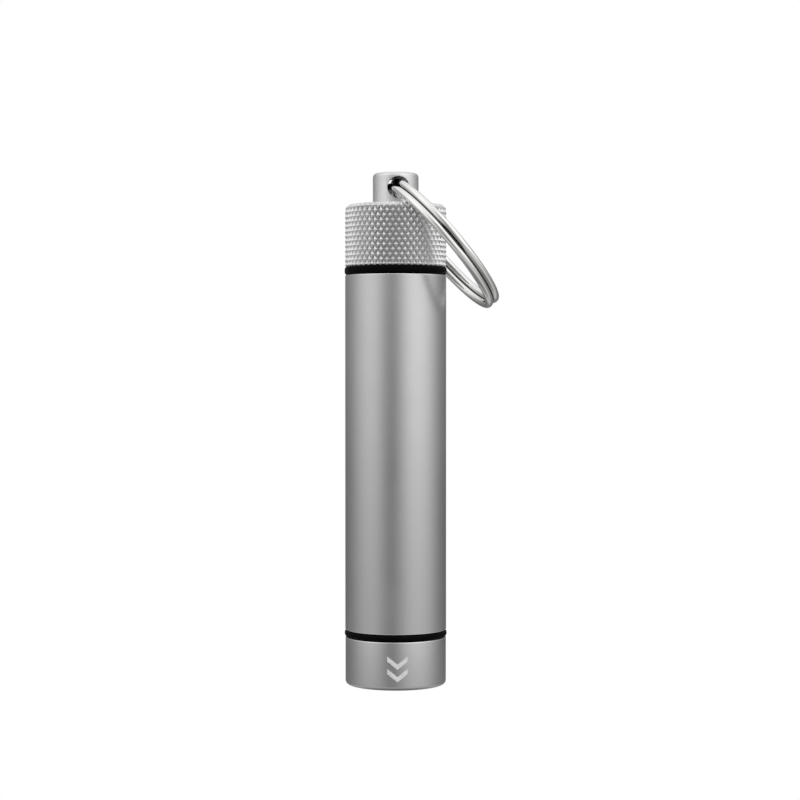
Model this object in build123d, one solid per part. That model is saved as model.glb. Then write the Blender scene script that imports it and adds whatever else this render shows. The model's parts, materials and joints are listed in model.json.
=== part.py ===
from build123d import *
import os
from math import atan, cos, degrees, pi, radians, sin, sqrt

# Keychain flashlight for one AAA cell. Millimetres, +Z up the barrel's axis.
# z = 0 is the bezel's end face, which the light leaves by and the object stands on.
# The key ring passes through a cross hole in the tail cap's post, along Y, and lies over the +X side.

# ---- Barrel, outside ----
TUBE_R = 7.0
TUBE_LENGTH = 49.11
TUBE_EDGE = 0.14
HEAD_R = 6.97
HEAD_LENGTH = 6.65
HEAD_EDGE = 0.6
SHOULDER_EDGE = 0.14
CAP_R = 7.03
CAP_LENGTH = 8.5
CAP_EDGE_RADIAL = 0.55
CAP_EDGE_AXIAL = 0.65
HEAD_GAP = 0.96
TAIL_GAP = 1.2
SEAL_R = 7.08
SEAL_ROUNDING = 0.42
SEAL_SQUEEZE = 0.01

# ---- Post and key ring ----
POST_R = 3.17
POST_LENGTH = 4.39
POST_EDGE = 0.6
POST_HOLE_R = 1.5
POST_HOLE_HEIGHT = 2.24
POST_HOLE_EDGE = 0.1
RING_MEAN_R = 10.54
RING_SLOPE = 49.4
RING_OFFSET = -0.65
WIRE_WIDTH = 1.14
WIRE_THICKNESS = 1.02
WIRE_ROUNDING = 0.46
COIL_GAP = 0.04
JOG_START = 95.0
JOG_SPREAD = 30.0

# ---- Bore and threads ----
BORE_R = 5.35
MOUTH_R = 6.33
NECK_R = 6.05
THREAD_CREST_R = 6.25
THREAD_ROOT_R = 5.87
THREAD_PITCH = 0.7
THREAD_CREST_WIDTH = 0.12
THREAD_ROOT_WIDTH = 0.6
THREAD_FOOT_SINK = 0.1
RUNOUT = 0.6
PLUG_EDGE = 0.3
HEAD_PLUG_LENGTH = 5.79
TAIL_PLUG_LENGTH = 4.92
MOUTH_CLEARANCE = 0.3
MOUTH_LEAD_IN = 0.2
CAP_BORE_RISE = 4.28

# ---- Head optics ----
LIP_THICKNESS = 0.8
APERTURE_R = 4.75
APERTURE_FLARE = 0.35
FIT = 0.05
LENS_BEVEL = 0.1
GASKET_THICKNESS = 0.25
GASKET_R_IN = 4.85
LENS_THICKNESS = 1.0
REFLECTOR_LENGTH = 4.15
REFLECTOR_MOUTH_R = 4.9
REFLECTOR_FLANGE = 0.9
REFLECTOR_BACK_R = 3.3
FOCAL_LENGTH = 1.1
SPACER_R = 3.3
SPACER_BOSS_R = 2.3
SPACER_BOSS_RISE = 0.3
SPACER_FACE = 0.4
LED_SIDE = 3.45
LED_HEIGHT = 0.65
LED_POCKET_PLAY = 0.05
DOME_R = 1.25
DOME_HOLE_R = 1.35
DIE_SIDE = 1.1
DIE_HEIGHT = 0.1

# ---- Head electronics ----
BOARD_THICKNESS = 0.8
PILL_FLOOR = 1.0
PILL_DEPTH = 1.15
PILL_WALL = 0.72
CHIP_LENGTH = 3.0
CHIP_WIDTH = 1.7
CHIP_HEIGHT = 0.85
CHIP_Y = -1.9
INDUCTOR_SIDE = 2.6
INDUCTOR_HEIGHT = 1.05
INDUCTOR_CORNER = 0.4
INDUCTOR_Y = 1.5
CAPACITOR_WIDTH = 0.8
CAPACITOR_LENGTH = 1.5
CAPACITOR_HEIGHT = 0.7
CAPACITOR_X = 2.4
CAPACITOR_Y = 1.2
RESISTOR_LENGTH = 1.2
RESISTOR_WIDTH = 0.6
RESISTOR_HEIGHT = 0.4
RESISTOR_Y = -3.5
LEAD_SPACING = 4.2
LEAD_R = 0.3
LEAD_HOLE_R = 0.42
SOLDER_R = 0.5
CONTACT_R = 1.5
CONTACT_BEVEL = 0.12
CONTACT_HEIGHT = 0.3
RETAINER_HEIGHT = 0.8
SLOT_WIDTH = 0.9
SLOT_LENGTH = 2.6
RETAINER_R_IN = 4.2
FOAM_R_OUT = 4.0
FOAM_R_IN = 2.3
FOAM_HEIGHT = 1.1

# ---- AAA cell ----
CELL_LENGTH = 44.5
CELL_R = 5.15
SLEEVE_THICKNESS = 0.1
SLEEVE_SETBACK = 0.3
CAN_WALL = 0.2
NUB_R = 1.9
NUB_HEIGHT = 0.8
CAN_ROUNDING = 0.18
CATHODE_R_IN = 3.3
COLLECTOR_R = 0.6
CELL_SEAL_HEIGHT = 2.2
CELL_SEAL_INSET = 0.15
BASE_CAP_HEIGHT = 0.4
BASE_CAP_R = 3.9

# ---- Tail spring ----
SPRING_WIRE_R = 0.35
SPRING_TOP_R = 4.5
SPRING_TIP_R = 2.4
SPRING_PITCH = 1.2
SEAT_THICKNESS = 0.3
SEAT_HOLE_R = 1.2
CONTACT_PLAY = 0.02

# ---- Heights worked out from the above ----
HEAD_TOP = HEAD_LENGTH
TUBE_BOTTOM = HEAD_TOP + HEAD_GAP
TUBE_TOP = TUBE_BOTTOM + TUBE_LENGTH
CAP_BOTTOM = TUBE_TOP + TAIL_GAP
CAP_TOP = CAP_BOTTOM + CAP_LENGTH
POST_TOP = CAP_TOP + POST_LENGTH
POST_HOLE_Z = CAP_TOP + POST_HOLE_HEIGHT
HEAD_PLUG_TOP = TUBE_BOTTOM + HEAD_PLUG_LENGTH
TAIL_PLUG_BOTTOM = TUBE_TOP - TAIL_PLUG_LENGTH
CAP_BORE_TOP = CAP_BOTTOM + CAP_BORE_RISE
LENS_BOTTOM = LIP_THICKNESS + GASKET_THICKNESS
LENS_TOP = LENS_BOTTOM + LENS_THICKNESS
REFLECTOR_TOP = LENS_TOP + REFLECTOR_LENGTH
LED_TOP_FACE = REFLECTOR_TOP - SPACER_BOSS_RISE + SPACER_FACE
LED_BOARD_BOTTOM = LED_TOP_FACE + LED_HEIGHT
PILL_BOTTOM = LED_BOARD_BOTTOM + BOARD_THICKNESS
PILL_TOP = PILL_BOTTOM + PILL_FLOOR + PILL_DEPTH
DRIVER_TOP = PILL_TOP + BOARD_THICKNESS
CELL_BOTTOM = DRIVER_TOP + CONTACT_HEIGHT
CELL_TOP = CELL_BOTTOM + CELL_LENGTH
INSERT_R = BORE_R - FIT


def disc(radius, low, high):
    """Cylinder on the axis from z = low to z = high."""
    upright = (Align.CENTER, Align.CENTER, Align.MIN)
    return Pos(0, 0, low) * Cylinder(radius, high - low, align=upright)


def washer(outer, inner, low, high):
    """Ring with flat faces on the axis."""
    return disc(outer, low, high) - disc(inner, low - 1, high + 1)


def block(x, y, low, width, depth, height):
    """Box standing on z = low, centred on x, y."""
    upright = (Align.CENTER, Align.CENTER, Align.MIN)
    return Pos(x, y, low) * Box(width, depth, height, align=upright)


def turned(*outline):
    """Solid of revolution about Z from radius and height pairs."""
    return revolve(Plane.XZ * Polygon(*outline, align=None), Axis.Z)


def rims(part, radius, height):
    """The circular edges of one radius at one height."""
    return [
        edge
        for edge in part.edges().filter_by(GeomType.CIRCLE)
        if abs(edge.radius - radius) < 1e-4 and abs(edge.arc_center.Z - height) < 1e-4
    ]


def thread_ridge(low, high):
    """Right-hand external thread's ridge, its foot sunk into the core between two heights."""
    foot_r = THREAD_ROOT_R - THREAD_FOOT_SINK
    rise = THREAD_CREST_R - foot_r
    profile = Plane(origin=(foot_r, 0, low), x_dir=(1, 0, 0), z_dir=(0, -1, 0)) * Polygon(
        (0, -THREAD_ROOT_WIDTH / 2),
        (rise, -THREAD_CREST_WIDTH / 2),
        (rise, THREAD_CREST_WIDTH / 2),
        (0, THREAD_ROOT_WIDTH / 2),
        align=None,
    )
    path = Helix(pitch=THREAD_PITCH, height=high - low, radius=foot_r, center=(0, 0, low))
    return sweep(profile, path=path, is_frenet=True)


def body_tube():
    tube = disc(TUBE_R, TUBE_BOTTOM, TUBE_TOP)
    tube = chamfer(rims(tube, TUBE_R, TUBE_BOTTOM) + rims(tube, TUBE_R, TUBE_TOP), TUBE_EDGE)
    tube -= disc(BORE_R, TUBE_BOTTOM, TUBE_TOP)
    tube -= disc(MOUTH_R, TUBE_BOTTOM, HEAD_PLUG_TOP + MOUTH_CLEARANCE)
    tube -= disc(MOUTH_R, TAIL_PLUG_BOTTOM - MOUTH_CLEARANCE, TUBE_TOP)
    mouths = rims(tube, MOUTH_R, TUBE_BOTTOM) + rims(tube, MOUTH_R, TUBE_TOP)
    return chamfer(mouths, MOUTH_LEAD_IN)


def seal_ring(low, high):
    """Rubber ring squeezed between two shoulders: flat faces, round shoulders."""
    section = Rectangle(SEAL_R - NECK_R - SEAL_SQUEEZE, high - low - 2 * SEAL_SQUEEZE)
    section = fillet(section.vertices(), SEAL_ROUNDING)
    middle = (SEAL_R + NECK_R + SEAL_SQUEEZE) / 2
    return revolve(Plane.XZ * Pos(middle, (low + high) / 2) * section, Axis.Z)


def head_shell():
    shell = disc(HEAD_R, 0, HEAD_TOP)
    shell = fillet(rims(shell, HEAD_R, 0), HEAD_EDGE)
    shell = chamfer(rims(shell, HEAD_R, HEAD_TOP), SHOULDER_EDGE)
    shell += disc(NECK_R, HEAD_TOP, TUBE_BOTTOM + RUNOUT / 2)
    core = disc(THREAD_ROOT_R, HEAD_TOP, HEAD_PLUG_TOP)
    shell += chamfer(rims(core, THREAD_ROOT_R, HEAD_PLUG_TOP), PLUG_EDGE)
    shell += thread_ridge(TUBE_BOTTOM + RUNOUT, HEAD_PLUG_TOP - RUNOUT)
    shell -= disc(BORE_R, LIP_THICKNESS, HEAD_PLUG_TOP + 1)
    shell -= turned(
        (0, -1),
        (APERTURE_R + APERTURE_FLARE, -1),
        (APERTURE_R + APERTURE_FLARE, 0),
        (APERTURE_R, LIP_THICKNESS),
        (0, LIP_THICKNESS),
    )
    return shell


def lens():
    glass = disc(INSERT_R, LENS_BOTTOM, LENS_TOP)
    edges = rims(glass, INSERT_R, LENS_BOTTOM) + rims(glass, INSERT_R, LENS_TOP)
    return chamfer(edges, LENS_BEVEL)


def reflector():
    """Parabolic cup with a front flange. Its focus is at the LED's die."""
    vertex = REFLECTOR_MOUTH_R**2 / (4 * FOCAL_LENGTH) + LENS_TOP
    steps = 12
    bowl = []
    for i in range(steps + 1):
        z = LENS_TOP + REFLECTOR_LENGTH * i / steps
        bowl.append((sqrt(4 * FOCAL_LENGTH * (vertex - z)), z))
    with BuildPart() as cup:
        with BuildSketch(Plane.XZ):
            with BuildLine():
                inside = Spline(*bowl)
                Polyline(
                    inside @ 1,
                    (REFLECTOR_BACK_R, REFLECTOR_TOP),
                    (INSERT_R - FIT, LENS_TOP + REFLECTOR_FLANGE),
                    (INSERT_R, LENS_TOP + REFLECTOR_FLANGE),
                    (INSERT_R, LENS_TOP),
                    inside @ 0,
                )
            make_face()
        revolve(axis=Axis.Z)
    return cup.part


def led_spacer():
    """Insulating ring that centres the LED in the reflector's back hole."""
    spacer = disc(SPACER_R, REFLECTOR_TOP, LED_BOARD_BOTTOM)
    spacer += disc(SPACER_BOSS_R, REFLECTOR_TOP - SPACER_BOSS_RISE, REFLECTOR_TOP)
    spacer -= disc(DOME_HOLE_R, REFLECTOR_TOP - 1, LED_BOARD_BOTTOM)
    pocket = LED_SIDE + 2 * LED_POCKET_PLAY
    return spacer - block(0, 0, LED_TOP_FACE, pocket, pocket, LED_HEIGHT + 1)


def led_base():
    return block(0, 0, LED_TOP_FACE, LED_SIDE, LED_SIDE, LED_HEIGHT)


def led_die():
    return block(0, 0, LED_TOP_FACE - DIE_HEIGHT, DIE_SIDE, DIE_SIDE, DIE_HEIGHT)


def led_dome():
    dome = Pos(0, 0, LED_TOP_FACE) * Sphere(DOME_R)
    dome &= disc(DOME_R + 1, LED_TOP_FACE - DOME_R - 1, LED_TOP_FACE)
    return dome - led_die()


def lead_places():
    """Where the two leads run, either side of the axis."""
    return [(-LEAD_SPACING, 0), (LEAD_SPACING, 0)]


def led_board():
    board = disc(INSERT_R, LED_BOARD_BOTTOM, PILL_BOTTOM)
    for x, y in lead_places():
        board -= Pos(x, y, LED_BOARD_BOTTOM) * Cylinder(LEAD_HOLE_R, 4 * BOARD_THICKNESS)
    return board


def pill():
    """Brass cup behind the LED board: it carries heat and the ground to the head."""
    cup = disc(INSERT_R, PILL_BOTTOM, PILL_TOP)
    cup -= disc(INSERT_R - PILL_WALL, PILL_BOTTOM + PILL_FLOOR, PILL_TOP + 1)
    for x, y in lead_places():
        cup -= Pos(x, y, PILL_BOTTOM) * Cylinder(LEAD_HOLE_R, 4 * PILL_FLOOR)
    return cup


def lead(place):
    """Short wire from the driver board to a drop of solder on the LED board's face."""
    x, y = place
    upright = (Align.CENTER, Align.CENTER, Align.MIN)
    low = LED_BOARD_BOTTOM
    wire = Pos(x, y, low) * Cylinder(LEAD_R, PILL_TOP - low, align=upright)
    drop = Pos(x, y, low) * Sphere(SOLDER_R)
    drop &= block(x, y, low - SOLDER_R, 2 * SOLDER_R, 2 * SOLDER_R, SOLDER_R)
    return wire + drop


def driver_board():
    return disc(INSERT_R, PILL_TOP, DRIVER_TOP)


def driver_chip():
    return block(0, CHIP_Y, PILL_TOP - CHIP_HEIGHT, CHIP_LENGTH, CHIP_WIDTH, CHIP_HEIGHT)


def driver_inductor():
    low = PILL_TOP - INDUCTOR_HEIGHT
    coil = block(0, INDUCTOR_Y, low, INDUCTOR_SIDE, INDUCTOR_SIDE, INDUCTOR_HEIGHT)
    return chamfer(coil.edges().filter_by(Axis.Z), INDUCTOR_CORNER)


def driver_capacitors():
    low = PILL_TOP - CAPACITOR_HEIGHT
    size = (CAPACITOR_WIDTH, CAPACITOR_LENGTH, CAPACITOR_HEIGHT)
    return Compound([block(side * CAPACITOR_X, CAPACITOR_Y, low, *size) for side in (-1, 1)])


def driver_resistor():
    low = PILL_TOP - RESISTOR_HEIGHT
    return block(0, RESISTOR_Y, low, RESISTOR_LENGTH, RESISTOR_WIDTH, RESISTOR_HEIGHT)


def contact_button():
    button = disc(CONTACT_R, DRIVER_TOP, CELL_BOTTOM)
    return chamfer(rims(button, CONTACT_R, CELL_BOTTOM), CONTACT_BEVEL)


def board_retainer():
    """Brass ring with two spanner slots that holds the driver board in the head."""
    ring = washer(INSERT_R, RETAINER_R_IN, DRIVER_TOP, DRIVER_TOP + RETAINER_HEIGHT)
    slot_floor = DRIVER_TOP + RETAINER_HEIGHT / 2
    for side in (-1, 1):
        ring -= block(0, side * INSERT_R, slot_floor, SLOT_WIDTH, SLOT_LENGTH, RETAINER_HEIGHT)
    return ring


def contact_foam():
    return washer(FOAM_R_OUT, FOAM_R_IN, DRIVER_TOP, DRIVER_TOP + FOAM_HEIGHT)


def cell_can():
    """Steel can: the positive pole, closed at the button and open at the base."""
    can_r = CELL_R - SLEEVE_THICKNESS
    shoulder = CELL_BOTTOM + NUB_HEIGHT
    can = turned(
        (0, CELL_BOTTOM),
        (NUB_R, CELL_BOTTOM),
        (NUB_R, shoulder),
        (can_r, shoulder),
        (can_r, CELL_TOP),
        (can_r - CAN_WALL, CELL_TOP),
        (can_r - CAN_WALL, shoulder + CAN_WALL),
        (NUB_R - CAN_WALL, shoulder + CAN_WALL),
        (NUB_R - CAN_WALL, CELL_BOTTOM + CAN_WALL),
        (0, CELL_BOTTOM + CAN_WALL),
    )
    return fillet(rims(can, can_r, shoulder) + rims(can, NUB_R, CELL_BOTTOM), CAN_ROUNDING)


def cell_sleeve():
    """Label shrunk round the can."""
    low = CELL_BOTTOM + NUB_HEIGHT + SLEEVE_SETBACK
    return washer(CELL_R, CELL_R - SLEEVE_THICKNESS, low, CELL_TOP)


def cell_cathode():
    fill_r = CELL_R - SLEEVE_THICKNESS - CAN_WALL
    low = CELL_BOTTOM + NUB_HEIGHT + CAN_WALL
    return washer(fill_r, CATHODE_R_IN, low, CELL_TOP - CELL_SEAL_HEIGHT - BASE_CAP_HEIGHT)


def cell_anode():
    low = CELL_BOTTOM + NUB_HEIGHT + CAN_WALL
    high = CELL_TOP - CELL_SEAL_HEIGHT - BASE_CAP_HEIGHT
    return disc(CATHODE_R_IN, low, high) - cell_collector()


def cell_collector():
    """Brass nail that stands in the anode and carries its current to the base."""
    return disc(COLLECTOR_R, CELL_BOTTOM + CELL_LENGTH / 4, CELL_TOP - BASE_CAP_HEIGHT)


def cell_seal():
    """Nylon plug that insulates the base from the can."""
    fill_r = CELL_R - SLEEVE_THICKNESS - CAN_WALL
    plug = disc(fill_r, CELL_TOP - CELL_SEAL_HEIGHT - BASE_CAP_HEIGHT, CELL_TOP - CELL_SEAL_INSET)
    plug -= disc(BASE_CAP_R, CELL_TOP - BASE_CAP_HEIGHT, CELL_TOP)
    return plug - cell_collector()


def cell_base():
    return disc(BASE_CAP_R, CELL_TOP - BASE_CAP_HEIGHT, CELL_TOP)


def tail_cap():
    cap = disc(CAP_R, CAP_BOTTOM, CAP_TOP)
    cap = chamfer(rims(cap, CAP_R, CAP_BOTTOM), SHOULDER_EDGE)
    corner = turned(
        (CAP_R - CAP_EDGE_RADIAL, CAP_TOP + 1e-3),
        (CAP_R + 1, CAP_TOP + 1e-3),
        (CAP_R + 1, CAP_TOP - CAP_EDGE_AXIAL),
        (CAP_R, CAP_TOP - CAP_EDGE_AXIAL),
    )
    cap -= corner
    cap += disc(NECK_R, TUBE_TOP - RUNOUT / 2, CAP_BOTTOM)
    core = disc(THREAD_ROOT_R, TAIL_PLUG_BOTTOM, CAP_BOTTOM)
    cap += chamfer(rims(core, THREAD_ROOT_R, TAIL_PLUG_BOTTOM), PLUG_EDGE)
    cap += thread_ridge(TAIL_PLUG_BOTTOM + RUNOUT, TUBE_TOP - RUNOUT)
    cap -= disc(BORE_R, TAIL_PLUG_BOTTOM - 1, CAP_BORE_TOP)
    post = disc(POST_R, CAP_TOP, POST_TOP)
    cap += fillet(rims(post, POST_R, POST_TOP), POST_EDGE)
    hole = Pos(0, 0, POST_HOLE_Z) * Rot(90, 0, 0) * Cylinder(POST_HOLE_R, 4 * POST_R)
    whole = cap.edges()
    cap -= hole
    mouths = [edge for edge in cap.edges() - whole if edge.geom_type != GeomType.LINE]
    return chamfer(mouths, POST_HOLE_EDGE)


def tail_spring():
    """Conical spring, its narrow end on the cell's base."""
    low = CELL_TOP + CONTACT_PLAY + SPRING_WIRE_R
    high = CAP_BORE_TOP - SEAT_THICKNESS - CONTACT_PLAY - SPRING_WIRE_R
    flare = degrees(atan((SPRING_TOP_R - SPRING_TIP_R) / (high - low)))
    coil = Helix(SPRING_PITCH, high - low, SPRING_TIP_R, center=(0, 0, low), cone_angle=flare)
    section = Plane(origin=coil @ 0, z_dir=coil % 0) * Circle(SPRING_WIRE_R)
    return sweep(section, path=coil, is_frenet=True)


def spring_seat():
    return washer(INSERT_R, SEAT_HOLE_R, CAP_BORE_TOP - SEAT_THICKNESS, CAP_BORE_TOP)


def ring_frame():
    """The key ring's own plane: x down its slope, z along its axis, origin at its centre."""
    slope = radians(RING_SLOPE)
    down = Vector(cos(slope), 0, -sin(slope))
    centre = Vector(0, 0, POST_HOLE_Z) + down * (RING_MEAN_R + RING_OFFSET)
    return Plane(origin=centre, x_dir=down, z_dir=(sin(slope), 0, cos(slope)))


def split_ring():
    """Two turns of wire side by side, joined by a jog from one layer to the other."""
    layer = (WIRE_THICKNESS + COIL_GAP) / 2
    after = JOG_START + JOG_SPREAD
    turn = 360 - JOG_SPREAD
    points = []
    steps = 6
    for i in range(steps + 1):
        share = i / steps
        angle = radians(JOG_START + JOG_SPREAD * share)
        height = -layer * cos(pi * share)
        points.append((RING_MEAN_R * cos(angle), RING_MEAN_R * sin(angle), height))
    start = radians(JOG_START)
    end = radians(after)
    tangents = [(-sin(start), cos(start), 0), (-sin(end), cos(end), 0)]
    lower = Pos(0, 0, -layer) * CenterArc((0, 0), RING_MEAN_R, after, turn)
    jog = Spline(*points, tangents=tangents)
    upper = Pos(0, 0, layer) * CenterArc((0, 0), RING_MEAN_R, after, turn)
    path = Wire([lower.edge(), jog.edge(), upper.edge()])
    section = Rectangle(WIRE_WIDTH, WIRE_THICKNESS)
    section = fillet(section.vertices(), WIRE_ROUNDING)
    first = Vector(RING_MEAN_R * cos(end), RING_MEAN_R * sin(end), -layer)
    across = Plane(origin=first, x_dir=(cos(end), sin(end), 0), z_dir=(-sin(end), cos(end), 0))
    return ring_frame() * sweep(across * section, path=path)


def nodes():
    """Every sub-part under its node name."""
    left, right = lead_places()
    return {
        "body_tube": body_tube(),
        "cell_can": cell_can(),
        "cell_sleeve": cell_sleeve(),
        "cell_cathode": cell_cathode(),
        "cell_anode": cell_anode(),
        "cell_collector": cell_collector(),
        "cell_seal": cell_seal(),
        "cell_base": cell_base(),
        "head_seal_ring": seal_ring(HEAD_TOP, TUBE_BOTTOM),
        "head_shell": head_shell(),
        "lens_gasket": washer(INSERT_R, GASKET_R_IN, LIP_THICKNESS, LENS_BOTTOM),
        "lens": lens(),
        "reflector": reflector(),
        "led_spacer": led_spacer(),
        "led_base": led_base(),
        "led_die": led_die(),
        "led_dome": led_dome(),
        "led_board": led_board(),
        "pill": pill(),
        "lead_positive": lead(left),
        "lead_negative": lead(right),
        "driver_board": driver_board(),
        "driver_chip": driver_chip(),
        "driver_inductor": driver_inductor(),
        "driver_capacitors": driver_capacitors(),
        "driver_resistor": driver_resistor(),
        "contact_button": contact_button(),
        "board_retainer": board_retainer(),
        "contact_foam": contact_foam(),
        "tail_seal_ring": seal_ring(TUBE_TOP, CAP_BOTTOM),
        "tail_cap": tail_cap(),
        "spring_seat": spring_seat(),
        "tail_spring": tail_spring(),
        "split_ring": split_ring(),
    }


os.makedirs("parts", exist_ok=True)
for name, shape in nodes().items():
    export_step(shape, f"parts/{name}.step")
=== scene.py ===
import json
from math import atan2, cos, pi, radians, sin, sqrt, tau

import bmesh
import bpy
import numpy as np
from mathutils import Matrix, Vector


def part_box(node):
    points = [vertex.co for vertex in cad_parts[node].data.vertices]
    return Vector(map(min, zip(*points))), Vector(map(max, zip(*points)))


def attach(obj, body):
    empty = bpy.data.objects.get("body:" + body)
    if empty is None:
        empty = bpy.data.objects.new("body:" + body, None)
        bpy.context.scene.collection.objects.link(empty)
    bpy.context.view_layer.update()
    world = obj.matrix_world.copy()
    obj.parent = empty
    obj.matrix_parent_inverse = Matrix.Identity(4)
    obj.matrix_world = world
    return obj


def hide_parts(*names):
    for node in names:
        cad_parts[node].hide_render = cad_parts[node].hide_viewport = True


# Keychain flashlight, standing on its bezel. Metres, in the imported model's own frame:
# z = 0 is the bezel's face, +Z runs up the barrel, and the key ring hangs over the +X side.

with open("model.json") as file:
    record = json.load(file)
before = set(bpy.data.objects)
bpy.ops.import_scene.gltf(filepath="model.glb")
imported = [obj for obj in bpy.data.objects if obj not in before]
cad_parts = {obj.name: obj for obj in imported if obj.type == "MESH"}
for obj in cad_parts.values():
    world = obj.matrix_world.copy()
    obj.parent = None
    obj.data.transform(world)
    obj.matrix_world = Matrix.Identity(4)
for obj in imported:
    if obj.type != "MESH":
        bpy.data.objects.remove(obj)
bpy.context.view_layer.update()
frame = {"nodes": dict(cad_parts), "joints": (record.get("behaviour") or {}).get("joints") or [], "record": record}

MM = 0.001

# ---- Places and sizes taken from the frame ----
joints = {joint["name"]: joint for joint in frame["joints"]}
couplings = frame["record"]["behaviour"]["couplings"]
THREAD_PITCH = couplings[0]["ratio"] * tau
HOLE_Z = joints["ring_swing"]["pos_m"][2]
FLOOR_Z = -joints["head_travel"]["range_m"][1]

SQUEEZE = 0.01 * MM
TUBE_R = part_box("body_tube")[1].x
TUBE_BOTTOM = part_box("body_tube")[0].z
TUBE_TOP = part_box("body_tube")[1].z
HEAD_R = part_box("head_shell")[1].x
HEAD_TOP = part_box("head_seal_ring")[0].z - SQUEEZE
HEAD_PLUG_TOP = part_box("head_shell")[1].z
LENS_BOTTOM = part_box("lens")[0].z
LENS_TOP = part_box("lens")[1].z
INSERT_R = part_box("lens")[1].x
LIP_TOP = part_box("lens_gasket")[0].z
CAP_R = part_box("tail_cap")[1].x
CAP_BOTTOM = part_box("tail_seal_ring")[1].z + SQUEEZE
TAIL_PLUG_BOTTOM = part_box("tail_cap")[0].z
POST_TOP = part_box("tail_cap")[1].z
CAP_BORE_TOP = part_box("spring_seat")[1].z
CELL_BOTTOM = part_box("cell_can")[0].z

# ---- Sizes that no box gives ----
CAP_LENGTH = 8.5 * MM
CAP_TOP = CAP_BOTTOM + CAP_LENGTH
BORE_R = 5.35 * MM
MOUTH_R = 6.33 * MM
NECK_R = 6.05 * MM
NECK_OVERLAP = 0.3 * MM
MOUTH_CLEARANCE = 0.3 * MM
APERTURE_R = 4.75 * MM
APERTURE_FLARE = 0.35 * MM
HEAD_EDGE = 0.6 * MM
RIM_EDGE = 0.13 * MM
LIP_EDGE = 0.1 * MM
FINE_EDGE = 0.05 * MM
MOUTH_LEAD = 0.4 * MM
MOUTH_SETBACK = 0.1 * MM
SEAL_OUTER_ROUNDING = 0.42 * MM
SEAL_INNER_ROUNDING = 0.35 * MM
CELL_BAND = 11 * MM

THREAD_ROOT_R = 5.87 * MM
THREAD_CREST_R = 6.25 * MM
THREAD_MINOR_R = 5.95 * MM
THREAD_RUNOUT = 0.6 * MM
THREAD_STEP = 0.05 * MM
THREAD_LEAD = 0.5 * MM
OUTER_RIDGE_FOOT = 0.25 * MM
INNER_RIDGE_FOOT = 0.28 * MM
RIDGE_FLANK = 0.19 * MM
PLUG_TIP = 0.4 * MM
PLUG_BEVEL_AXIAL = 0.3 * MM
PLUG_BEVEL_RADIAL = 0.25 * MM

MARK_FACING = radians(-95.7)
MARK_TOP = 4.75 * MM
MARK_HALF_WIDTH = 1.4 * MM
MARK_DROP = 1.1 * MM
MARK_STROKE = 0.7 * MM
MARK_SPACING = 1.7 * MM
MARK_SINK = 0.03 * MM
MARK_PROUD = 0.006 * MM

POST_R = 3.17 * MM
POST_EDGE = 0.6 * MM
POST_HOLE_R = 1.5 * MM
POST_HOLE_EDGE = 0.12 * MM
POST_FOOT_FILLET = 0.08 * MM
CUTTER_SPREAD = 1.5 * POST_HOLE_EDGE
CUTTER_REACH = 3 * POST_HOLE_EDGE

KNURLS = 50
KNURL_DIVISIONS = 3
KNURL_ROWS = 38
KNURL_DEPTH = 0.34 * MM
KNURL_FLAT = 0.86
KNURL_RIM = 0.2
KNURL_EDGE_FADE = 0.55
CAP_EDGE_RADIAL = 0.55 * MM
CAP_EDGE_AXIAL = 0.65 * MM
CAP_EDGE_POWER = 1.6
CAP_TOP_FLAT = 0.35 * MM
CAP_LIP_EDGE = 0.04 * MM

RING_MEAN_R = 10.539 * MM
RING_SLOPE = radians(49.4)
RING_OFFSET = -0.65 * MM
WIRE_WIDTH = 1.14 * MM
WIRE_THICKNESS = 1.02 * MM
WIRE_ROUNDING = 0.46 * MM
WIRE_END_BEVEL = 0.1 * MM
WIRE_END_SCALE = 0.82
COIL_GAP = 0.04 * MM
JOG_START = radians(95)
JOG_SPREAD = radians(30)
JOG_MARGIN = radians(2)

# Darkening painted on the ring: darker inside the post's hole, painted shade in the groove between the turns, and
# a patch where that painted shade runs wider and darker
HOLE_DARK_END = radians(17)
HOLE_DARK_FADE = radians(3)
GROOVE_HALF_WIDTH = 0.17 * MM
GROOVE_FADE = 0.12 * MM
GROOVE_SHADE = 0.6
# The patch widens and darkens the painted shade in the groove.
PATCH_ANGLE = radians(-92)
PATCH_SPREAD = radians(16)
PATCH_EXTRA_WIDTH = 0.13 * MM
PATCH_EXTRA_SHADE = 0.38

SPRING_WIRE_R = 0.34 * MM
SPRING_TOP_R = 4.5 * MM
SPRING_TIP_R = 2.4 * MM
SPRING_TURNS = 5.5
SPRING_DEAD_RISE = 2.05 * SPRING_WIRE_R
SPRING_LIVE_WIDENING = 0.8
SPRING_PLAY = 0.01 * MM
SPRING_SIDES = 16
FOCAL_LENGTH = 1.1 * MM
REFLECTOR_MOUTH_R = 4.9 * MM
REFLECTOR_FLANGE = 0.9 * MM
REFLECTOR_BACK_R = 3.3 * MM
LENS_EDGE = 0.1 * MM
LED_CORNER = 0.06
LED_BEVEL = 0.08 * MM

# ---- Mesh: columns round a turned piece, points on an arc, tolerances and material slots ----
COLUMNS = KNURLS * 2 * KNURL_DIVISIONS
SMALL_COLUMNS = 96
ARC_STEPS = 6
NUDGE = 1e-4
SAME_PLACE = 1e-8
EVEN_ROW = 1e-9
SHARP_EDGE = radians(30)
WIRE_SHARP_EDGE = radians(40)
# Slot for the painted shade on the cross hole's wall, then the post's finish
SHADE_SLOT = 3
POST_SLOT = 4

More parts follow.
